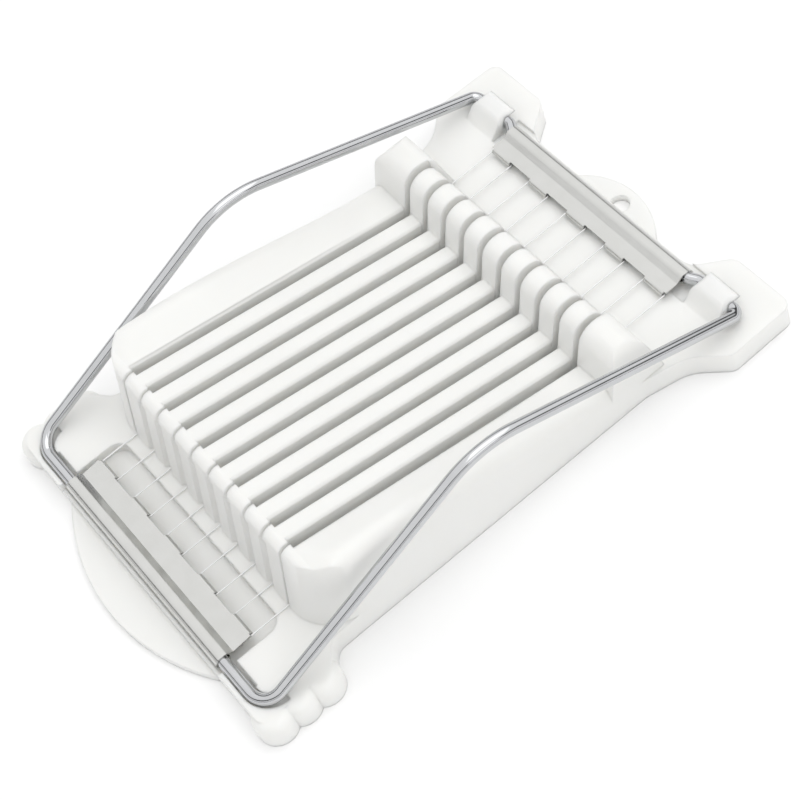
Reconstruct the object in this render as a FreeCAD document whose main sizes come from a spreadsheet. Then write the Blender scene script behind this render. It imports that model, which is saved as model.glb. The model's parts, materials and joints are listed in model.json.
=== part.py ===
import FreeCAD, Part
import math
import os
import Sketcher
from FreeCAD import Placement, Rotation, Vector

# Egg slicer: moulded base with a sloping slatted bed, hinged rod frame, two sheet
# wire holders and ten cutting wires.  Millimetres, origin on the table under the
# middle of the slicer, +Z up, hinge toward +Y, frame closed on the bed.

os.makedirs("parts", exist_ok=True)
doc = FreeCAD.newDocument("EggSlicer")
dims = doc.addObject("Spreadsheet::Sheet", "dims")

sizes = {
    # bed and slots
    "slotPitch": 9.0,
    "slotCount": 10,
    "slotWidth": 3.1,
    "finGapWidth": 2.4,
    "slitWidth": 1.0,
    "bedTilt": 12.0,
    "bedMidHeight": 23.32,
    "bedNear": -54.5,
    "bedFar": 45.5,
    "halfWidth": 57.5,
    "wallTilted": -64.2,
    # plate
    "deckHeight": 8.8,
    "flangeHeight": 2.6,
    "frontEdge": -91.8,
    "discRadius": 73.5,
    "tabRadius": 26.0,
    "hangingHoleRadius": 3.2,
    "toeRadius": 6.4,
    "toePitch": 8.4,
    "pocketFloor": 4.6,
    # fins behind the bed
    "finTop": 26.7,
    # rod frame
    "rodDiameter": 3.8,
    "armOffset": 61.8,
    "hingeY": 90.3,
    "hingeHeight": 11.0,
    "hingeClearance": 0.06,
    "crossbarY": -88.0,
    "crossbarHeight": 8.7,
    "rearBarY": 88.7,
    "peakY": -0.4,
    "peakHeight": 46.8,
    # sheet holders
    "sheetThickness": 0.5,
    "holderWidth": 82.0,
    "tabPitch": 18.0,
    "tabWidth": 8.2,
    "notchDepth": 0.9,
    # wires
    "wireDiameter": 0.5,
}
for row, (alias, value) in enumerate(sizes.items(), start=1):
    dims.set("A%d" % row, alias)
    dims.set("B%d" % row, str(value))
    dims.setAlias("B%d" % row, alias)
doc.recompute()


def size(alias):
    return float(getattr(dims, alias))


TILT = math.radians(size("bedTilt"))


def bedHeight(y):
    """Height of the slat tops above the table."""
    return size("bedMidHeight") - y * math.tan(TILT)


def tilted(along, above):
    """Point of the YZ plane given along the bed and square to it."""
    y = along * math.cos(TILT) + above * math.sin(TILT)
    z = above * math.cos(TILT) - along * math.sin(TILT)
    return y, z


def roundedLoop(points, closed=True):
    """Lines and arcs through corner points (x, y, radius)."""
    count = len(points)
    corners = []
    for i, (x, y, radius) in enumerate(points):
        here = Vector(x, y, 0)
        if radius <= 0 or (not closed and i in (0, count - 1)):
            corners.append((here, None, here))
            continue
        back = Vector(points[i - 1][0], points[i - 1][1], 0) - here
        ahead = Vector(points[(i + 1) % count][0], points[(i + 1) % count][1], 0) - here
        back.normalize()
        ahead.normalize()
        half = math.acos(max(-1, min(1, back.dot(ahead)))) / 2
        reach = radius / math.tan(half)
        middle = back + ahead
        middle.normalize()
        centre = here + middle * (radius / math.sin(half))
        corners.append((here + back * reach, centre - middle * radius, here + ahead * reach))
    shapes = []
    last = count if closed else count - 1
    for i in range(count):
        start, mid, end = corners[i]
        if mid is not None:
            shapes.append(Part.Arc(start, mid, end))
        if i < last:
            following = corners[(i + 1) % count][0]
            if (following - end).Length > 1e-6:
                shapes.append(Part.LineSegment(end, following))
    return shapes


def mirrored(points):
    """Right-hand corner points completed with their left-hand mirror images."""
    left = [(-x, y, radius) for x, y, radius in reversed(points) if x > 1e-9]
    return points + left


def sketchOn(body, name, plane, geometry, offset=0.0, turn=None):
    """Sketch on an origin plane of the body, moved along the normal and turned."""
    sketch = body.newObject("Sketcher::SketchObject", name)
    role = [f for f in body.Origin.OriginFeatures if f.Role == plane][0]
    sketch.AttachmentSupport = (role, [""])
    sketch.MapMode = "FlatFace"
    rotation = turn if turn is not None else Rotation()
    sketch.AttachmentOffset = Placement(rotation.multVec(Vector(0, 0, offset)), rotation)
    for shape in geometry:
        sketch.addGeometry(shape, False)
    sketch.Visibility = False
    return sketch


def pin(sketch, name, kind, where, expression):
    """Named sketch constraint driven by a cell of the sheet."""
    index = sketch.addConstraint(Sketcher.Constraint(kind, *where))
    sketch.renameConstraint(index, name)
    sketch.setExpression("Constraints." + name, expression)


def circleSketch(body, name, plane, x, y, radius, expression, offset=0.0):
    circle = Part.Circle(Vector(x, y, 0), Vector(0, 0, 1), radius)
    sketch = sketchOn(body, name, plane, [circle], offset)
    pin(sketch, "radius", "Radius", (0, radius), expression)
    return sketch


def pad(body, name, sketch, length, expression=None, midplane=False, backward=False):
    feature = body.newObject("PartDesign::Pad", name)
    feature.Profile = sketch
    feature.Length = length
    if expression:
        feature.setExpression("Length", expression)
    feature.Midplane = midplane
    feature.Reversed = backward
    doc.recompute()
    return feature


def pocket(body, name, sketch, length, midplane=False, backward=False, expression=None):
    feature = body.newObject("PartDesign::Pocket", name)
    feature.Profile = sketch
    feature.Length = length
    if expression:
        feature.setExpression("Length", expression)
    feature.Midplane = midplane
    feature.Reversed = backward
    doc.recompute()
    return feature


def pattern(body, name, feature, direction, length, occurrences):
    """Row of copies along an origin axis of the body."""
    row = body.newObject("PartDesign::LinearPattern", name)
    row.Originals = [feature]
    axis = [f for f in body.Origin.OriginFeatures if f.Role == direction][0]
    row.Direction = (axis, [""])
    row.setExpression("Length", length)
    row.setExpression("Occurrences", occurrences)
    body.Tip = row
    doc.recompute()
    return row


def mirror(body, name, features):
    """Copies of the features on the other side of the middle plane."""
    other = body.newObject("PartDesign::Mirrored", name)
    other.Originals = features
    plane = [f for f in body.Origin.OriginFeatures if f.Role == "YZ_Plane"][0]
    other.MirrorPlane = (plane, [""])
    body.Tip = other
    doc.recompute()
    return other


def box(x0, x1, y0, y1):
    return [(x0, y0, 0), (x1, y0, 0), (x1, y1, 0), (x0, y1, 0)]


base = doc.addObject("PartDesign::Body", "base")
base.Label = "base"
halfWidth = size("halfWidth")
deck = size("deckHeight")
tiltTurn = Rotation(Vector(1, 0, 0), -size("bedTilt"))


# Slatted block: cross-sections along the bed, raised toward the side rims.
def bedSection(y, crown):
    top = bedHeight(y)
    right = [(halfWidth, 1.0, 0), (halfWidth, top + crown, 4.5), (42.5, top, 0)]
    return mirrored(right)


sections = []
crowns = [(-76.0, -4.0), (-61.0, 1.0), (-46.0, 4.6), (1.5, 4.2), (50.0, 1.2)]
for index, (y, crown) in enumerate(crowns):
    loop = roundedLoop(bedSection(y, crown))
    sections.append(sketchOn(base, "bedSection%d" % index, "XZ_Plane", loop, offset=-y))
doc.recompute()
block = base.newObject("PartDesign::AdditiveLoft", "block")
block.Profile = sections[0]
block.Sections = [(s, [""]) for s in sections[1:]]
block.Ruled = False
base.Tip = block
doc.recompute()

# Near wall leaning with the bed, with rounded upright corners and a soft rim.
wall = size("wallTilted")
bedAbove = size("bedMidHeight") * math.cos(TILT)
outside = [
    (-57.6, -25, 0), (-57.6, wall, 15.0), (57.6, wall, 15.0), (57.6, -25, 0),
    (80, -25, 0), (80, -120, 0), (-80, -120, 0), (-80, -25, 0),
]
wallSketch = sketchOn(base, "nearWallOutline", "XY_Plane", roundedLoop(outside), 0.0, tiltTurn)
pocket(base, "nearWall", wallSketch, 160, midplane=True)

rimRound = 3.2
rimLoop = [
    (wall + 1.1 * rimRound, bedAbove, 0), (wall, bedAbove, rimRound),
    (wall, bedAbove - 1.1 * rimRound, 0), (wall - 8, bedAbove - 1.1 * rimRound, 0),
    (wall - 8, bedAbove + 9, 0), (wall + 22, bedAbove + 9, 0),
]
rimPoints = [tilted(a, b) + (r,) for a, b, r in rimLoop]
pocket(base, "nearRim", sketchOn(base, "rimProfile", "YZ_Plane", roundedLoop(rimPoints)), 130, midplane=True)

# Grooves that lead the wires down the near wall.
pitch = size("slotPitch")
firstSlot = -pitch * (size("slotCount") - 1) / 2
groove = Part.Circle(Vector(firstSlot, wall - 0.5, 0), Vector(0, 0, 1), 1.9)
grooveSketch = sketchOn(base, "wallGroove", "XY_Plane", [groove], bedAbove - 4.6, tiltTurn)
wallGroove = pocket(base, "wallGrooves", grooveSketch, 40)
pattern(base, "wallGrooveRow", wallGroove, "X_Axis", "dims.slotPitch * (dims.slotCount - 1)", "dims.slotCount")

# Fins behind the bed and the thicker, more rounded end blocks.
finTop = size("finTop")
fins = [(44.0, 5, 0), (45.2, 13.0, 0), (49.2, finTop, 5.6), (57.4, finTop - 0.6, 5.0), (64.5, 5, 0)]
finSketch = sketchOn(base, "finProfile", "YZ_Plane", roundedLoop(fins))
pad(base, "fins", finSketch, 2 * 42.0, midplane=True)
ends = [(44.0, 5, 0), (45.0, 13.0, 0), (49.2, finTop + 0.6, 6.6), (59.4, finTop - 0.4, 6.0), (65.5, 5, 0)]
endSketch = sketchOn(base, "endProfile", "YZ_Plane", roundedLoop(ends), offset=41.2)
endPad = pad(base, "endBlock", endSketch, halfWidth - 41.2)
shoulder = 8.0
shoulderZ = finTop + 0.8
shoulderLoop = [
    (halfWidth, shoulderZ - 1.1 * shoulder, 0), (halfWidth, shoulderZ, shoulder),
    (halfWidth - 1.1 * shoulder, shoulderZ, 0), (halfWidth - 1.1 * shoulder, shoulderZ + 6, 0),
    (halfWidth + 8, shoulderZ + 6, 0), (halfWidth + 8, shoulderZ - 1.1 * shoulder, 0),
]
shoulderSketch = sketchOn(base, "shoulderProfile", "XZ_Plane", roundedLoop(shoulderLoop), offset=-56.0)
shoulderCut = pocket(base, "endShoulder", shoulderSketch, 24, midplane=True)
mirror(base, "endBlocks", [endPad, shoulderCut])

# Foot plate: front flange, waist and two rear lobes, with rounded toes in front.
frontEdge = size("frontEdge")
plate = mirrored([
    (65.0, frontEdge, 3.0), (65.0, -66.5, 4.0), (57.5, -61.0, 5.0), (57.5, 56.0, 16.0),
    (60.6, 70.5, 14.0), (69.75, 80.0, 4.5), (69.2, 104.0, 3.5), (45.2, 104.0, 4.5),
    (37.0, 92.8, 8.0),
])
plateSketch = sketchOn(base, "plateOutline", "XY_Plane", roundedLoop(plate))
pad(base, "plate", plateSketch, deck, "dims.deckHeight")

disc = size("discRadius")
chord = 40.2
rise = math.sqrt(disc ** 2 - chord ** 2)
middle = -30.5
segment = [
    Part.Arc(Vector(-chord, middle - rise, 0), Vector(0, middle - disc, 0), Vector(chord, middle - rise, 0)),
    Part.LineSegment(Vector(chord, middle - rise, 0), Vector(chord, frontEdge + 3, 0)),
    Part.LineSegment(Vector(chord, frontEdge + 3, 0), Vector(-chord, frontEdge + 3, 0)),
    Part.LineSegment(Vector(-chord, frontEdge + 3, 0), Vector(-chord, middle - rise, 0)),
]
pad(base, "frontDisc", sketchOn(base, "discOutline", "XY_Plane", segment), 2.6, "dims.flangeHeight")
tabSketch = circleSketch(base, "tabOutline", "XY_Plane", 0, 76.5, size("tabRadius"), "dims.tabRadius")
pad(base, "hangingTab", tabSketch, 2.6, "dims.flangeHeight")
holeSketch = circleSketch(base, "hangingHoleOutline", "XY_Plane", 0, 96.3, size("hangingHoleRadius"),
                          "dims.hangingHoleRadius")
pocket(base, "hangingHole", holeSketch, 6, backward=True)

# Toes: short round studs with softened tops, three on each front corner.
toe = size("toeRadius")
toeX = 69.75 - toe
toeProfile = [(toeX, 0, 0), (toeX + toe, 0, 0), (toeX + toe, deck, 3.4), (toeX, deck, 0)]
toeSketch = sketchOn(base, "toeProfile", "XZ_Plane", roundedLoop(toeProfile), offset=-(frontEdge + 4.6))
axis = Part.LineSegment(Vector(toeX, -5, 0), Vector(toeX, 20, 0))
toeSketch.addGeometry(axis, True)
toes = base.newObject("PartDesign::Revolution", "toe")
toes.Profile = toeSketch
toes.ReferenceAxis = (toeSketch, ["Axis0"])
toes.Angle = 360
base.Tip = toes
doc.recompute()
toeRow = pattern(base, "toeRow", toes, "Y_Axis", "dims.toePitch * 2", "3")

toesLeft = sketchOn(base, "toeProfileLeft", "XZ_Plane",
                    roundedLoop([(-x, z, r) for x, z, r in toeProfile]), offset=-(frontEdge + 4.6))
toesLeft.addGeometry(Part.LineSegment(Vector(-toeX, -5, 0), Vector(-toeX, 20, 0)), True)
leftToes = base.newObject("PartDesign::Revolution", "toeLeft")
leftToes.Profile = toesLeft
leftToes.ReferenceAxis = (toesLeft, ["Axis0"])
leftToes.Angle = 360
base.Tip = leftToes
doc.recompute()
pattern(base, "toeRowLeft", leftToes, "Y_Axis", "dims.toePitch * 2", "3")

# Hinge knuckles on the rear lobes.
hingeY = size("hingeY")
hingeZ = size("hingeHeight")
knuckleTop = hingeZ + 3.3
knuckle = [(hingeY - 12.0, 6, 0), (hingeY - 6.5, deck + 0.6, 6.0), (hingeY - 2.6, knuckleTop, 4.5),
           (hingeY + 3.0, knuckleTop, 4.5), (hingeY + 8.0, 6, 0)]
knuckleSketch = sketchOn(base, "knuckleProfile", "YZ_Plane", roundedLoop(knuckle), offset=45.4)
rightKnuckle = pad(base, "knuckle", knuckleSketch, 13.4)
knuckleRound = 3.0


def knuckleCorner(x, outward):
    """Outline of the material taken off one upper end of a knuckle."""
    low = knuckleTop - 1.1 * knuckleRound
    inner = x - outward * 1.1 * knuckleRound
    return roundedLoop([
        (x, low, 0), (x, knuckleTop, knuckleRound), (inner, knuckleTop, 0),
        (inner, knuckleTop + 4, 0), (x + outward * 4, knuckleTop + 4, 0), (x + outward * 4, low, 0),
    ])


cornerLoops = knuckleCorner(58.8, 1) + knuckleCorner(45.4, -1)
knuckleEnds = sketchOn(base, "knuckleEndProfile", "XZ_Plane", cornerLoops, offset=-hingeY)
knuckleCut = pocket(base, "knuckleEnd", knuckleEnds, 26, midplane=True)
mirror(base, "knuckles", [rightKnuckle, knuckleCut])

# Recess in front of the bed, trough under the rear holder, seat for the crossbar.
recess = [(-43.5, frontEdge + 1.2, 0), (43.5, frontEdge + 1.2, 0), (43.5, -68.0, 5.0), (-43.5, -68.0, 5.0)]
recessSketch = sketchOn(base, "recessOutline", "XY_Plane", roundedLoop(recess), size("pocketFloor"))
pocket(base, "frontRecess", recessSketch, 20, backward=True)
lip = box(-43.5, 43.5, frontEdge - 1, frontEdge + 2)
pocket(base, "frontLip", sketchOn(base, "lipOutline", "XY_Plane", roundedLoop(lip), 5.8), 20, backward=True)
trough = [(-45.2, hingeY - 7.6, 0), (45.2, hingeY - 7.6, 0), (45.2, 94, 0), (-45.2, 94, 0)]
pocket(base, "rearTrough", sketchOn(base, "troughOutline", "XY_Plane", roundedLoop(trough), 8.0), 20, backward=True)
seatRadius = 2.3
barY = size("crossbarY")
barZ = size("crossbarHeight")
seat = [(barY - seatRadius, barZ + 8, 0), (barY - seatRadius, barZ - seatRadius, seatRadius - 0.01),
        (barY + seatRadius, barZ - seatRadius, seatRadius - 0.01), (barY + seatRadius + 3.3, barZ + 8, 0)]
seatSketch = sketchOn(base, "seatProfile", "YZ_Plane", roundedLoop(seat))
pocket(base, "crossbarSeat", seatSketch, 2 * 54.0, midplane=True)
armX = size("armOffset")
cornerSeat = [
    (50.0, barY - seatRadius, 0), (armX + seatRadius, barY - seatRadius, 9.6),
    (armX + seatRadius, -80.5, 0), (armX - seatRadius, -80.5, 0),
    (armX - seatRadius, barY + seatRadius, 5.0), (50.0, barY + seatRadius, 0),
]
cornerSketch = sketchOn(base, "cornerSeatOutline", "XY_Plane", roundedLoop(cornerSeat), barZ - 2.1)
cornerPocket = pocket(base, "cornerSeat", cornerSketch, 20, backward=True)
mirror(base, "cornerSeats", [cornerPocket])

# Hinge bores with snap-in mouths toward the back.
boreRadius = size("rodDiameter") / 2 + size("hingeClearance")
boreSketch = circleSketch(base, "boreOutline", "YZ_Plane", hingeY, hingeZ, boreRadius,
                          "dims.rodDiameter / 2 + dims.hingeClearance")
pocket(base, "hingeBores", boreSketch, 2 * 64.0, midplane=True)
mouth = [(hingeY + 0.3, deck, 0), (hingeY + 13, deck, 0), (hingeY + 13, hingeZ + 2.2, 0),
         (hingeY + 0.3, hingeZ + 1.7, 0)]
pocket(base, "snapMouths", sketchOn(base, "mouthProfile", "YZ_Plane", roundedLoop(mouth)), 2 * 64.0, midplane=True)

# Hollow underside below the slats and a shallow one below the rear deck.
cavityTop = bedAbove - 9.0
for name, foot, front, reach in (("cavityFront", -61.5, 3.0, 44.5), ("cavity", -48.5, 16.0, 54.5)):
    nearTop = tilted(wall + front, cavityTop)
    farTop = tilted(34.0, cavityTop)
    cavity = [(foot, -1, 0), (*nearTop, 2.0), (*farTop, 2.0), (36.0, -1, 0)]
    cavitySketch = sketchOn(base, name + "Profile", "YZ_Plane", roundedLoop(cavity))
    pocket(base, name, cavitySketch, 2 * reach, midplane=True)
shallow = [(-48, 40.0, 4.0), (48, 40.0, 4.0), (48, 86.0, 4.0), (-48, 86.0, 4.0)]
shallowSketch = sketchOn(base, "deckCavityOutline", "XY_Plane", roundedLoop(shallow))
pocket(base, "deckCavity", shallowSketch, 6.0, backward=True)

# Slots: softened lips on the bed, deep slots, gaps between the fins, guiding slits.
half = size("slotWidth") / 2
lipRadius = 0.7
slotLoop = [
    (firstSlot - half, bedAbove - 10.5, 0), (firstSlot + half, bedAbove - 10.5, 0),
    (firstSlot + half, bedAbove - lipRadius, 0), (firstSlot + half + lipRadius, bedAbove + 0.02, 0),
    (firstSlot - half - lipRadius, bedAbove + 0.02, 0), (firstSlot - half, bedAbove - lipRadius, 0),
]
slotSketch = sketchOn(base, "slotProfile", "XZ_Plane", roundedLoop(slotLoop), 60.6, tiltTurn)
bedSlot = pocket(base, "bedSlot", slotSketch, 102.0)
rowLength = "dims.slotPitch * (dims.slotCount - 1)"
pattern(base, "bedSlots", bedSlot, "X_Axis", rowLength, "dims.slotCount")
halfGap = size("finGapWidth") / 2
gap = box(firstSlot - halfGap, firstSlot + halfGap, size("bedFar") - 3.0, size("bedFar") + 12.6)
gapSketch = sketchOn(base, "gapOutline", "XY_Plane", roundedLoop(gap), 8.0)
finGap = pocket(base, "finGap", gapSketch, 40, backward=True)
pattern(base, "finGaps", finGap, "X_Axis", rowLength, "dims.slotCount")
thin = size("slitWidth") / 2
slits = roundedLoop(box(firstSlot - thin, firstSlot + thin, -66.0, -54.0))
slits += roundedLoop(box(firstSlot - thin, firstSlot + thin, size("bedFar") + 12.0, size("bedFar") + 21.0))
slitSketch = sketchOn(base, "slitOutline", "XY_Plane", slits, deck)
wireSlit = pocket(base, "wireSlit", slitSketch, 40, backward=True)
pattern(base, "wireSlits", wireSlit, "X_Axis", rowLength, "dims.slotCount")


# Bent rod and wires are swept along three-dimensional paths.
def bentPath(name, points):
    """Wire of straight runs and bends through corner points (x, y, z, radius)."""
    corners = []
    for i, (x, y, z, radius) in enumerate(points):
        here = Vector(x, y, z)
        if i in (0, len(points) - 1):
            corners.append((here, None, here))
            continue
        back = (Vector(*points[i - 1][:3]) - here).normalize()
        ahead = (Vector(*points[i + 1][:3]) - here).normalize()
        half = math.acos(max(-1, min(1, back.dot(ahead)))) / 2
        reach = radius / math.tan(half)
        middle = (back + ahead).normalize()
        centre = here + middle * (radius / math.sin(half))
        corners.append((here + back * reach, centre - middle * radius, here + ahead * reach))
    edges = []
    for i, (start, mid, end) in enumerate(corners):
        if mid is not None:
            edges.append(Part.Arc(start, mid, end).toShape())
        if i + 1 < len(corners):
            edges.append(Part.LineSegment(end, corners[i + 1][0]).toShape())
    path = doc.addObject("Part::Feature", name)
    path.Shape = Part.Wire(edges)
    return path


def sweptRound(label, points, diameterAlias):
    """Round bar or wire along a bent path, its radius bound to the sheet."""
    path = bentPath(label + "_path", points)
    start = Vector(*points[0][:3])
    direction = (Vector(*points[1][:3]) - start).normalize()
    section = doc.addObject("Part::Circle", label + "_section")
    section.setExpression("Radius", "dims." + diameterAlias + " / 2")
    section.Placement = Placement(start, Rotation(Vector(0, 0, 1), direction))
    sweep = doc.addObject("Part::Sweep", label)
    sweep.Sections = [section]
    sweep.Spine = (path, ["Edge%d" % (i + 1) for i in range(len(path.Shape.Edges))])
    sweep.Solid = True
    sweep.Frenet = False
    sweep.Label = label
    doc.recompute()
    return sweep


rearBar = size("rearBarY")
peakY = size("peakY")
peakZ = size("peakHeight")
rightRod = [
    (0.2, rearBar, hingeZ, 0), (41.4, rearBar, hingeZ, 3.0), (44.4, hingeY, hingeZ, 3.0),
    (armX, hingeY, hingeZ, 2.9), (armX, peakY, peakZ, 30.0), (armX, barY, barZ, 7.5),
]
leftRod = [(-x, y, z, radius) for x, y, z, radius in reversed(rightRod)]
frame = sweptRound("frame_rod", rightRod + leftRod, "rodDiameter")


# Sheet holders: strip wrapped round the rod, flat panel and curled tabs.
def stripLoop(points, thickness):
    """Closed outline of a strip whose middle line runs through (y, z, radius)."""
    sides = ([], [])
    for i, (y, z, radius) in enumerate(points):
        here = Vector(y, z, 0)
        before = (here - Vector(*points[i - 1][:2], 0)).normalize() if i else None
        after = (Vector(*points[i + 1][:2], 0) - here).normalize() if i + 1 < len(points) else None
        before = before or after
        after = after or before
        normal = Vector(-before.y - after.y, before.x + after.x, 0).normalize()
        stretch = thickness / 2 / normal.dot(Vector(-before.y, before.x, 0))
        turn = before.x * after.y - before.y * after.x
        for side, sign in zip(sides, (1, -1)):
            bend = max(radius - math.copysign(thickness / 2, turn * sign), 0.02) if radius else 0
            point = here + normal * (sign * stretch)
            side.append((point.x, point.y, bend))
    return sides[0] + sides[1][::-1]


def sheetHolder(label, points, edgeY, edgeZ, inward):
    """Folded strip as wide as the holder, cut into five tabs at its free edge."""
    body = doc.addObject("PartDesign::Body", label)
    body.Label = label
    profile = sketchOn(body, label + "_profile", "YZ_Plane", roundedLoop(stripLoop(points, size("sheetThickness"))))
    pad(body, label + "_strip", profile, size("holderWidth"), "dims.holderWidth", midplane=True)
    step = size("tabPitch")
    reach = size("tabWidth") / 2
    last = 2 * step + reach
    belowPanel = edgeZ - 0.75
    for level, depth, height, length in (
        ("edge", size("notchDepth"), 20.0, 80.0), ("curl", 3.2, belowPanel, 20.0),
    ):
        low, high = sorted((edgeY + inward * depth, edgeY - inward * 2.0))
        name = "%s_%s" % (label, level)
        ends = roundedLoop(box(-60, -last, low, high)) + roundedLoop(box(last, 60, low, high))
        pocket(body, name + "_ends", sketchOn(body, name + "_end_cuts", "XY_Plane", ends, height), length)
        notch = roundedLoop(box(-2 * step + reach, -step - reach, low, high))
        notchSketch = sketchOn(body, name + "_notch_outline", "XY_Plane", notch, height)
        cut = pocket(body, name + "_notch", notchSketch, length)
        pattern(body, name + "_notches", cut, "X_Axis", "dims.tabPitch * 3", "4")
    return body


wrap = size("rodDiameter") / 2 + 0.3
curl = 0.94


def holderPath(sign, barAt, barUp, edgeY, edgeZ, creaseDrop):
    """Middle line from the curled free edge over the panel and round the rod."""
    return [
        (edgeY - sign * 2.9, edgeZ - 2.0, 0), (edgeY, edgeZ - 2.0, curl), (edgeY, edgeZ, curl),
        (barAt + sign * 3.9, edgeZ - creaseDrop, 0.8), (barAt + sign * 1.5, barUp + wrap, wrap),
        (barAt - sign * wrap, barUp + wrap, wrap), (barAt - sign * wrap, barUp - wrap, wrap),
        (barAt + sign * wrap, barUp - wrap, wrap), (barAt + sign * wrap, barUp + 0.1, 0),
    ]


frontEdgeY = -76.75
frontEdgeZ = 10.2
rearEdgeY = 79.35
rearEdgeZ = 11.5
frontPath = holderPath(1, barY, barZ, frontEdgeY, frontEdgeZ, 0.8)
rearPath = holderPath(-1, rearBar, hingeZ, rearEdgeY, rearEdgeZ, 0.0)
frontHolder = sheetHolder("front_wire_holder", frontPath, frontEdgeY, frontEdgeZ, -1)
rearHolder = sheetHolder("rear_wire_holder", rearPath, rearEdgeY, rearEdgeZ, 1)

# Cutting wires: straight between the holders, ends turned into the tab curls.
wires = []
for index in range(int(size("slotCount"))):
    x = firstSlot + index * pitch
    inward = 1 if index % 2 == 0 else -1
    frontZ = frontEdgeZ - 1.0
    rearZ = rearEdgeZ - 1.0
    points = [
        (x + 3.2 * inward, frontEdgeY - 1.0, frontZ, 0), (x, frontEdgeY - 1.0, frontZ, 0.8),
        (x, rearEdgeY + 1.0, rearZ, 0.8), (x + 3.2 * inward, rearEdgeY + 1.0, rearZ, 0),
    ]
    wires.append(sweptRound("cutting_wire_%02d" % (index + 1), points, "wireDiameter"))

# Every object is checked before each node is written to its own file.
doc.recompute()
for item in doc.Objects:
    if "Invalid" in item.State or "Error" in item.State:
        raise RuntimeError("%s: %s" % (item.Name, item.State))
for node in [base, frame, frontHolder, rearHolder] + wires:
    shape = node.Shape
    if shape.isNull() or not shape.isValid() or shape.Volume <= 0 or len(shape.Solids) != 1:
        raise RuntimeError("bad shape: " + node.Label)
    print(node.Label, round(shape.Volume, 1), "mm3")
    shape.exportStep("parts/%s.step" % node.Label)
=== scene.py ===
import json
import math
import bmesh
import bpy
from mathutils import Euler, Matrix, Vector


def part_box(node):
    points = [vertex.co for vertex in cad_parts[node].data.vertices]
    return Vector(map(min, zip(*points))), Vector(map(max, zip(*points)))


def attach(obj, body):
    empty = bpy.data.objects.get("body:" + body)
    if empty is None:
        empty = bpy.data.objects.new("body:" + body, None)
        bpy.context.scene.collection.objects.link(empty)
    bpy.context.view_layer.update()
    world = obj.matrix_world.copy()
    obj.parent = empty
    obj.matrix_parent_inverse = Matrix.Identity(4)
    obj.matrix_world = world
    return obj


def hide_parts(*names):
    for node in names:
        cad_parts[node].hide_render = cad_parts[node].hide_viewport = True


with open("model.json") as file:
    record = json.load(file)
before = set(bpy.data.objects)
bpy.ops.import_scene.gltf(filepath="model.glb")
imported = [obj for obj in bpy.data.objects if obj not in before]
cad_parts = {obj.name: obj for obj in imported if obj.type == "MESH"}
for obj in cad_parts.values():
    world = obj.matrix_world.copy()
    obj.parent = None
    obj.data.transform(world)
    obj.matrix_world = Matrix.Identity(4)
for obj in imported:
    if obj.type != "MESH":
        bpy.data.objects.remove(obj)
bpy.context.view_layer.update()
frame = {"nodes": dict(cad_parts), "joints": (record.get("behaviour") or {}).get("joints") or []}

millimetre = 0.001


def linearColour(hexCode):  # sRGB hex to the linear values the shader wants
    parts = [int(hexCode[i:i + 2], 16) / 255 for i in (1, 3, 5)]
    return [c / 12.92 if c <= 0.04045 else ((c + 0.055) / 1.055) ** 2.4 for c in parts] + [1.0]


def addNode(tree, kind, settings=None, inputs=None):  # inputs are constants or sockets to link from
    node = tree.nodes.new(kind)
    for name, value in (settings or {}).items():
        setattr(node, name, value)
    for name, value in (inputs or {}).items():
        if isinstance(value, bpy.types.NodeSocket):
            tree.links.new(value, node.inputs[name])
        else:
            node.inputs[name].default_value = value
    return node


def newMaterial(name):
    material = bpy.data.materials.new(name)
    material.use_nodes = True
    material.node_tree.nodes.clear()
    return material, material.node_tree


absLook = {
    "face": "#F1F1EF", "shade": "#ECECE9", "ior": 1.53, "roughness": 0.36,
    "cloudSize": 38.0, "orangePeel": 1.6, "peelHeight": 0.010,
    "glossSpread": (-0.04, 0.05), "edgeRadius": 0.9, "glowDepth": 3.0, "glow": 0.6,
}


# White ABS from a polished mould: soft gloss, a faint orange peel, light glowing through thin
# slats and softened edges.  The peel is drawn coarser than real so that it shows.
def mouldedAbs():
    material, tree = newMaterial("mouldedWhiteAbs")
    place = addNode(tree, "ShaderNodeTexCoord")
    cloud = addNode(tree, "ShaderNodeTexNoise", None,
                    {"Vector": place.outputs["Object"], "Scale": 1000 / absLook["cloudSize"], "Detail": 2.0})
    tint = addNode(tree, "ShaderNodeMix", {"data_type": "RGBA"}, {
        0: cloud.outputs["Fac"], 6: linearColour(absLook["shade"]), 7: linearColour(absLook["face"])})
    gloss = addNode(tree, "ShaderNodeMapRange", None, {
        "Value": cloud.outputs["Fac"], "From Min": 0.3, "From Max": 0.7,
        "To Min": absLook["roughness"] + absLook["glossSpread"][0],
        "To Max": absLook["roughness"] + absLook["glossSpread"][1]})
    peel = addNode(tree, "ShaderNodeTexNoise", None,
                   {"Vector": place.outputs["Object"], "Scale": 1000 / absLook["orangePeel"], "Detail": 1.0})
    edge = addNode(tree, "ShaderNodeBevel", {"samples": 4}, {"Radius": absLook["edgeRadius"] * millimetre})
    bump = addNode(tree, "ShaderNodeBump", None, {
        "Strength": 0.25, "Distance": absLook["peelHeight"] * millimetre,
        "Height": peel.outputs["Fac"], "Normal": edge.outputs["Normal"]})
    shader = addNode(tree, "ShaderNodeBsdfPrincipled", None, {
        "Base Color": tint.outputs[2], "Roughness": gloss.outputs["Result"], "IOR": absLook["ior"],
        "Subsurface Weight": absLook["glow"], "Subsurface Radius": (1.0, 0.97, 0.93),
        "Subsurface Scale": absLook["glowDepth"] * millimetre,
        "Normal": bump.outputs["Normal"]})
    addNode(tree, "ShaderNodeOutputMaterial", None, {"Surface": shader.outputs["BSDF"]})
    return material


rodFinish = {"metal": "#CFD0D2", "worn": "#C0C1C3", "roughness": 0.075, "patch": 9.0, "drawLine": 0.25}


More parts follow.
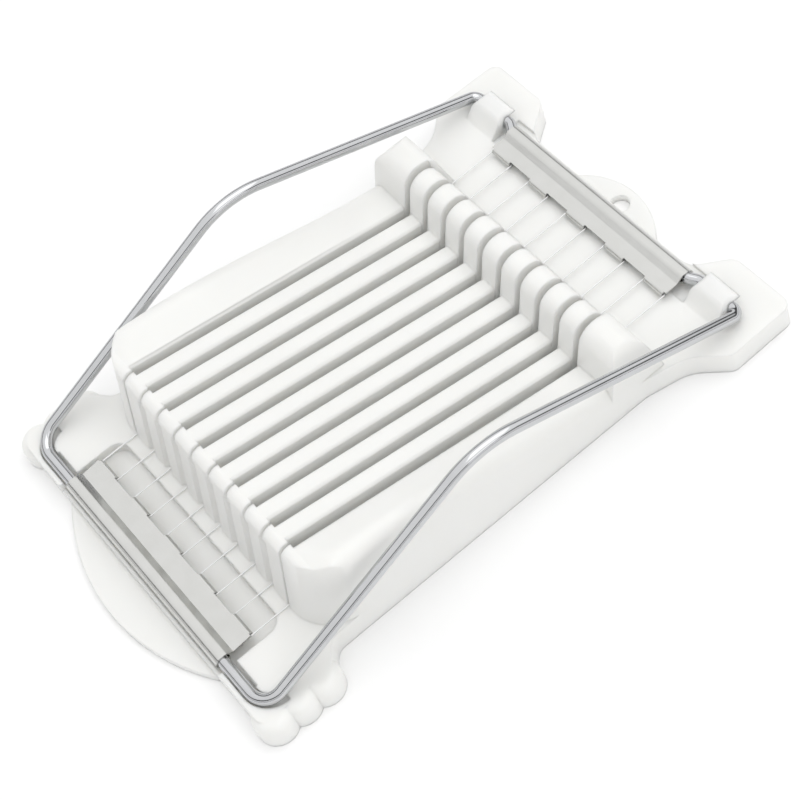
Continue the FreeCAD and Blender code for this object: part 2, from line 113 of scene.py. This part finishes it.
# Drawn steel rod, polished bright: long mirror streaks and hairline draw marks, drawn coarser
# than real so that they show.
def polishedRod():
    material, tree = newMaterial("polishedDrawnRod")
    place = addNode(tree, "ShaderNodeTexCoord")
    patch = addNode(tree, "ShaderNodeTexNoise", None,
                    {"Vector": place.outputs["Object"], "Scale": 1000 / rodFinish["patch"], "Detail": 3.0})
    stretch = addNode(tree, "ShaderNodeMapping", None,
                      {"Vector": place.outputs["Object"], "Scale": (1.0, 0.04, 1.0)})
    draw = addNode(tree, "ShaderNodeTexNoise", None, {
        "Vector": stretch.outputs["Vector"], "Scale": 1000 / rodFinish["drawLine"], "Detail": 1.0})
    tint = addNode(tree, "ShaderNodeMix", {"data_type": "RGBA"}, {
        0: patch.outputs["Fac"], 6: linearColour(rodFinish["worn"]), 7: linearColour(rodFinish["metal"])})
    gloss = addNode(tree, "ShaderNodeMapRange", None, {
        "Value": patch.outputs["Fac"], "From Min": 0.3, "From Max": 0.75,
        "To Min": rodFinish["roughness"], "To Max": rodFinish["roughness"] + 0.06})
    bump = addNode(tree, "ShaderNodeBump", None, {
        "Strength": 0.08, "Distance": 0.004 * millimetre, "Height": draw.outputs["Fac"]})
    shader = addNode(tree, "ShaderNodeBsdfPrincipled", None, {
        "Base Color": tint.outputs[2], "Metallic": 1.0, "Roughness": gloss.outputs["Result"],
        "Normal": bump.outputs["Normal"]})
    addNode(tree, "ShaderNodeOutputMaterial", None, {"Surface": shader.outputs["BSDF"]})
    return material


sheetFinish = {"metal": "#D2D2D0", "worn": "#C9C9C6", "roughness": 0.19, "grain": 0.35, "patch": 6.0}


# Cold-rolled bright sheet: a satin surface with a fine rolling grain along its length, drawn
# coarser than real so that it shows.
def rolledSheet():
    material, tree = newMaterial("rolledBrightSheet")
    place = addNode(tree, "ShaderNodeTexCoord")
    stretch = addNode(tree, "ShaderNodeMapping", None,
                      {"Vector": place.outputs["Object"], "Scale": (0.03, 1.0, 1.0)})
    grain = addNode(tree, "ShaderNodeTexNoise", None, {
        "Vector": stretch.outputs["Vector"], "Scale": 1000 / sheetFinish["grain"], "Detail": 2.0})
    patch = addNode(tree, "ShaderNodeTexNoise", None,
                    {"Vector": place.outputs["Object"], "Scale": 1000 / sheetFinish["patch"], "Detail": 3.0})
    tint = addNode(tree, "ShaderNodeMix", {"data_type": "RGBA"}, {
        0: patch.outputs["Fac"], 6: linearColour(sheetFinish["worn"]), 7: linearColour(sheetFinish["metal"])})
    gloss = addNode(tree, "ShaderNodeMapRange", None, {
        "Value": grain.outputs["Fac"], "From Min": 0.3, "From Max": 0.7,
        "To Min": sheetFinish["roughness"] - 0.02, "To Max": sheetFinish["roughness"] + 0.03})
    bump = addNode(tree, "ShaderNodeBump", None, {
        "Strength": 0.04, "Distance": 0.004 * millimetre, "Height": grain.outputs["Fac"]})
    shader = addNode(tree, "ShaderNodeBsdfPrincipled", None, {
        "Base Color": tint.outputs[2], "Metallic": 1.0, "Roughness": gloss.outputs["Result"],
        "Normal": bump.outputs["Normal"]})
    addNode(tree, "ShaderNodeOutputMaterial", None, {"Surface": shader.outputs["BSDF"]})
    return material


wireFinish = {"metal": "#F4F4F4", "worn": "#E9E9E9", "roughness": 0.5, "patch": 2.5}


# Hard-drawn stainless wire: pale and bright with slight changes of tone along it.
def drawnWire():
    material, tree = newMaterial("drawnStainlessWire")
    place = addNode(tree, "ShaderNodeTexCoord")
    patch = addNode(tree, "ShaderNodeTexNoise", None,
                    {"Vector": place.outputs["Object"], "Scale": 1000 / wireFinish["patch"], "Detail": 2.0})
    tint = addNode(tree, "ShaderNodeMix", {"data_type": "RGBA"}, {
        0: patch.outputs["Fac"], 6: linearColour(wireFinish["worn"]), 7: linearColour(wireFinish["metal"])})
    gloss = addNode(tree, "ShaderNodeMapRange", None, {
        "Value": patch.outputs["Fac"],
        "To Min": wireFinish["roughness"], "To Max": wireFinish["roughness"] + 0.1})
    bump = addNode(tree, "ShaderNodeBump", None, {
        "Strength": 0.1, "Distance": 0.003 * millimetre, "Height": patch.outputs["Fac"]})
    shader = addNode(tree, "ShaderNodeBsdfPrincipled", None, {
        "Base Color": tint.outputs[2], "Metallic": 1.0, "Roughness": gloss.outputs["Result"],
        "Normal": bump.outputs["Normal"]})
    addNode(tree, "ShaderNodeOutputMaterial", None, {"Surface": shader.outputs["BSDF"]})
    return material


# Seamless white studio paper: flat white with a very slight change of tone.
def mattePaper():
    material, tree = newMaterial("matteStudioPaper")
    place = addNode(tree, "ShaderNodeTexCoord")
    cloud = addNode(tree, "ShaderNodeTexNoise", None, {"Vector": place.outputs["Object"], "Scale": 6.0})
    tint = addNode(tree, "ShaderNodeMix", {"data_type": "RGBA"},
                   {0: cloud.outputs["Fac"], 6: linearColour("#FBFBFB"), 7: linearColour("#FDFDFD")})
    shader = addNode(tree, "ShaderNodeBsdfPrincipled", None,
                     {"Base Color": tint.outputs[2], "Roughness": 0.9, "Specular IOR Level": 0.1})
    addNode(tree, "ShaderNodeOutputMaterial", None, {"Surface": shader.outputs["BSDF"]})
    return material


plastic = mouldedAbs()
rodMetal = polishedRod()
sheetMetal = rolledSheet()
wireMetal = drawnWire()
print("materials ready")


def meshObject(name, mesh, material):
    piece = bpy.data.objects.new(name, mesh)
    bpy.context.scene.collection.objects.link(piece)
    mesh.materials.clear()
    mesh.materials.append(material)
    return piece


seam = {"mergeWithin": 0.004, "sharpAngle": 32.0}


def mergedCopy(node, name, material):  # the CAD surface as one closed skin with smooth curved faces
    mesh = frame["nodes"][node].data.copy()
    mesh.name = name
    work = bmesh.new()
    work.from_mesh(mesh)
    bmesh.ops.remove_doubles(work, verts=work.verts, dist=seam["mergeWithin"] * millimetre)
    limit = math.radians(seam["sharpAngle"])
    for face in work.faces:
        face.smooth = True
    for edge in work.edges:
        edge.smooth = len(edge.link_faces) == 2 and edge.calc_face_angle(0) < limit
    work.to_mesh(mesh)
    work.free()
    return meshObject(name, mesh, material)


basePiece = mergedCopy("base", "moulded_base", plastic)
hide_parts("base")
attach(basePiece, "slicer_base")
print("base ready", len(basePiece.data.polygons))


def newTree(name, inputs):  # tree with a geometry in and out and the named sizes
    tree = bpy.data.node_groups.new(name, "GeometryNodeTree")
    tree.interface.new_socket("Geometry", in_out="OUTPUT", socket_type="NodeSocketGeometry")
    tree.interface.new_socket("Geometry", in_out="INPUT", socket_type="NodeSocketGeometry")
    for label, kind in inputs:
        tree.interface.new_socket(label, in_out="INPUT", socket_type=kind)
    return tree, addNode(tree, "NodeGroupInput"), addNode(tree, "NodeGroupOutput")


def grow(name, mesh, tree, values, material):  # run the tree on the mesh and keep the plain result
    seedObject = bpy.data.objects.new(name + "Seed", mesh)
    bpy.context.scene.collection.objects.link(seedObject)
    modifier = seedObject.modifiers.new("build", "NODES")
    modifier.node_group = tree
    for socket in tree.interface.items_tree:
        if socket.in_out == "INPUT" and socket.name in values:
            modifier[socket.identifier] = values[socket.name]
    bpy.context.view_layer.update()
    graph = bpy.context.evaluated_depsgraph_get()
    result = bpy.data.meshes.new_from_object(seedObject.evaluated_get(graph))
    result.name = name
    seedObject.modifiers.clear()
    bpy.data.objects.remove(seedObject)
    return meshObject(name, result, material)


def pathMesh(name, points):  # corner points (x, y, z, bend radius) in millimetres
    mesh = bpy.data.meshes.new(name)
    edges = [(i, i + 1) for i in range(len(points) - 1)]
    mesh.from_pydata([Vector(p[:3]) * millimetre for p in points], edges, [])
    bend = mesh.attributes.new("bend", "FLOAT", "POINT")
    for i, point in enumerate(points):
        bend.data[i].value = point[3] * millimetre
    return mesh


def roundBarTree(name, material):  # corner path, filleted by its bend attribute, swept as a round bar
    tree, given, result = newTree(name, [("Diameter", "NodeSocketFloat"), ("Sides", "NodeSocketInt"),
                                         ("Bend Steps", "NodeSocketInt"), ("Copies", "NodeSocketInt"),
                                         ("Pitch", "NodeSocketFloat")])
    bend = addNode(tree, "GeometryNodeInputNamedAttribute", {"data_type": "FLOAT"}, {"Name": "bend"})
    curve = addNode(tree, "GeometryNodeMeshToCurve", None, {"Mesh": given.outputs["Geometry"]})
    fillet = addNode(tree, "GeometryNodeFilletCurve", {"mode": "POLY"}, {
        "Curve": curve.outputs["Curve"], "Radius": bend.outputs["Attribute"],
        "Count": given.outputs["Bend Steps"]})
    half = addNode(tree, "ShaderNodeMath", {"operation": "MULTIPLY"}, {0: given.outputs["Diameter"], 1: 0.5})
    ring = addNode(tree, "GeometryNodeCurvePrimitiveCircle", None,
                   {"Resolution": given.outputs["Sides"], "Radius": half.outputs["Value"]})
    bar = addNode(tree, "GeometryNodeCurveToMesh", None, {
        "Curve": fillet.outputs["Curve"], "Profile Curve": ring.outputs["Curve"], "Fill Caps": True})
    smooth = addNode(tree, "GeometryNodeSetShadeSmooth", None, {"Geometry": bar.outputs["Mesh"]})
    step = addNode(tree, "ShaderNodeCombineXYZ", None, {"X": given.outputs["Pitch"]})
    row = addNode(tree, "GeometryNodeMeshLine", {"mode": "OFFSET"},
                  {"Count": given.outputs["Copies"], "Offset": step.outputs["Vector"]})
    copies = addNode(tree, "GeometryNodeInstanceOnPoints", None,
                     {"Points": row.outputs["Mesh"], "Instance": smooth.outputs["Geometry"]})
    real = addNode(tree, "GeometryNodeRealizeInstances", None, {"Geometry": copies.outputs["Instances"]})
    painted = addNode(tree, "GeometryNodeSetMaterial", None,
                      {"Geometry": real.outputs["Geometry"], "Material": material})
    tree.links.new(painted.outputs["Geometry"], result.inputs["Geometry"])
    return tree


rod = {
    "diameter": 3.8, "sides": 40, "bendSteps": 18, "cornerBend": 7.5, "peakBend": 30.0,
    "hingeBend": 2.9, "jogBend": 3.0, "jogFrom": 41.4, "jogTo": 44.4, "wrapGap": 0.55,
    "peakCorner": (-0.4, 46.8), "halfGap": 0.2,
}


def buildRod():
    low, high = (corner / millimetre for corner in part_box("frame_rod"))
    half = rod["diameter"] / 2
    arm = high.x - half
    hinge = [value / millimetre for value in frame["joints"][0]["pos_m"][1:]]
    rearBar = (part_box("rear_wire_holder")[1].y / millimetre - half - rod["wrapGap"], hinge[1])
    right = [
        (rod["halfGap"], *rearBar, 0.0), (rod["jogFrom"], *rearBar, rod["jogBend"]),
        (rod["jogTo"], *hinge, rod["jogBend"]), (arm, *hinge, rod["hingeBend"]),
        (arm, *rod["peakCorner"], rod["peakBend"]), (arm, low.y + half, low.z + half, rod["cornerBend"]),
    ]
    left = [(-x, y, z, radius) for x, y, z, radius in reversed(right)]
    path = pathMesh("rodPath", right + left)
    tree = roundBarTree("roundBar", rodMetal)
    values = {"Diameter": rod["diameter"] * millimetre, "Sides": rod["sides"], "Bend Steps": rod["bendSteps"],
              "Copies": 1, "Pitch": 0.0}
    return grow("bent_rod", path, tree, values, rodMetal)


rodPiece = buildRod()
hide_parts("frame_rod")
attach(rodPiece, "cutting_frame")
print("rod ready", len(rodPiece.data.polygons))


wire = {"diameter": 0.5, "sides": 10, "bendSteps": 5, "bend": 0.8, "count": 10}


def wireRow(label, firstNode, nextNode):  # every second wire; its hooks turn to the same side
    low, high = (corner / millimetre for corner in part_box(firstNode))
    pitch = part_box(nextNode)[0].x / millimetre - low.x
    half = wire["diameter"] / 2
    straight, hooked = (low.x + half, high.x) if label == "odd" else (high.x - half, low.x)
    front = (low.y + half, low.z + half)
    rear = (high.y - half, high.z - half)
    points = [
        (hooked, *front, 0.0), (straight, *front, wire["bend"]),
        (straight, *rear, wire["bend"]), (hooked, *rear, 0.0),
    ]
    values = {"Diameter": wire["diameter"] * millimetre, "Sides": wire["sides"],
              "Bend Steps": wire["bendSteps"], "Copies": wire["count"] // 2, "Pitch": pitch * millimetre}
    tree = roundBarTree("wireRow", wireMetal)
    return grow("cutting_wires_" + label, pathMesh("wirePath", points), tree, values, wireMetal)


wireRows = [
    (wireRow("odd", "cutting_wire_01", "cutting_wire_03"), 1),
    (wireRow("even", "cutting_wire_02", "cutting_wire_04"), 2),
]
for piece, firstNumber in wireRows:
    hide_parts(*["cutting_wire_%02d" % n for n in range(firstNumber, wire["count"] + 1, 2)])
    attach(piece, "cutting_frame")
print("wires ready")


for node, name in (("front_wire_holder", "front_holder_sheet"), ("rear_wire_holder", "rear_holder_sheet")):
    holder = mergedCopy(node, name, sheetMetal)
    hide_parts(node)
    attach(holder, "cutting_frame")
print("holders ready")


studio = {
    "floorSize": 6.0, "floorDrop": 0.0001, "skyStrength": 1.13, "sideLow": 0.9,
    "topPlace": (0.1, 0.5, 1.5), "topSize": (1.4, 1.4), "topPower": 4.5,
    "sidePlace": (1.3, 0.3, 0.8), "sideSize": (0.8, 0.8), "sidePower": 1.0,
}
# Height and grey of the room: the dark bands are what the rod mirrors as dark streaks.
skyBands = [(0.00, 0.10), (0.08, 0.75), (0.30, 0.95), (0.37, 0.06), (0.47, 0.06), (0.54, 1.0), (1.0, 1.0)]


def buildFloor():
    half = studio["floorSize"] / 2
    mesh = bpy.data.meshes.new("studio_floor")
    corners = [(-half, -half, 0), (half, -half, 0), (half, half, 0), (-half, half, 0)]
    mesh.from_pydata([(x, y, z - studio["floorDrop"]) for x, y, z in corners], [], [(0, 1, 2, 3)])
    floor = meshObject("studio_floor", mesh, mattePaper())


def areaLight(name, place, size, power):  # a soft box aimed at the middle of the base
    lamp = bpy.data.lights.new(name, "AREA")
    lamp.shape = "RECTANGLE"
    lamp.size, lamp.size_y = size
    lamp.energy = power
    holder = bpy.data.objects.new(name, lamp)
    bpy.context.scene.collection.objects.link(holder)
    holder.location = place
    holder.rotation_euler = (-Vector(place)).to_track_quat("-Z", "Y").to_euler()


def buildWorld():
    world = bpy.data.worlds.new("softRoom")
    world.use_nodes = True
    tree = world.node_tree
    tree.nodes.clear()
    place = addNode(tree, "ShaderNodeTexCoord")
    split = addNode(tree, "ShaderNodeSeparateXYZ", None, {"Vector": place.outputs["Generated"]})
    lift = addNode(tree, "ShaderNodeValToRGB", None, {"Fac": split.outputs["Z"]})
    stops = lift.color_ramp.elements
    while len(stops) < len(skyBands):
        stops.new(1.0)
    for stop, (height, grey) in zip(stops, skyBands):
        stop.position = height
        stop.color = (grey, grey, grey, 1.0)
    side = addNode(tree, "ShaderNodeMapRange", {"interpolation_type": "SMOOTHSTEP"}, {
        "Value": split.outputs["Y"], "From Min": -0.9, "From Max": 0.1,
        "To Min": studio["sideLow"], "To Max": 1.0})
    scaled = addNode(tree, "ShaderNodeMath", {"operation": "MULTIPLY"},
                     {0: side.outputs["Result"], 1: studio["skyStrength"]})
    back = addNode(tree, "ShaderNodeBackground", None,
                   {"Color": lift.outputs["Color"], "Strength": scaled.outputs["Value"]})
    addNode(tree, "ShaderNodeOutputWorld", None, {"Surface": back.outputs["Background"]})
    bpy.context.scene.world = world


buildFloor()
buildWorld()
areaLight("topSoftbox", studio["topPlace"], studio["topSize"], studio["topPower"])
areaLight("rightSoftbox", studio["sidePlace"], studio["sideSize"], studio["sidePower"])
print("studio ready")


view = {
    "lens": 94.85, "sensor": 36.0, "shift": (0.0060, 0.0091), "nearest": 0.01,
    "place": (0.34765, -0.10908, 0.52634), "turn": (0.558398, 0.231783, 0.908092),
}


def buildCamera():
    camera = bpy.data.cameras.new("camera")
    camera.lens = view["lens"]
    camera.sensor_width = view["sensor"]
    camera.shift_x, camera.shift_y = view["shift"]
    camera.clip_start = view["nearest"]
    holder = bpy.data.objects.new("camera", camera)
    bpy.context.scene.collection.objects.link(holder)
    holder.location = view["place"]
    holder.rotation_euler = Euler(view["turn"], "XYZ")
    bpy.context.scene.camera = holder


buildCamera()
bpy.context.scene.view_settings.view_transform = "Standard"
bpy.context.view_layer.update()
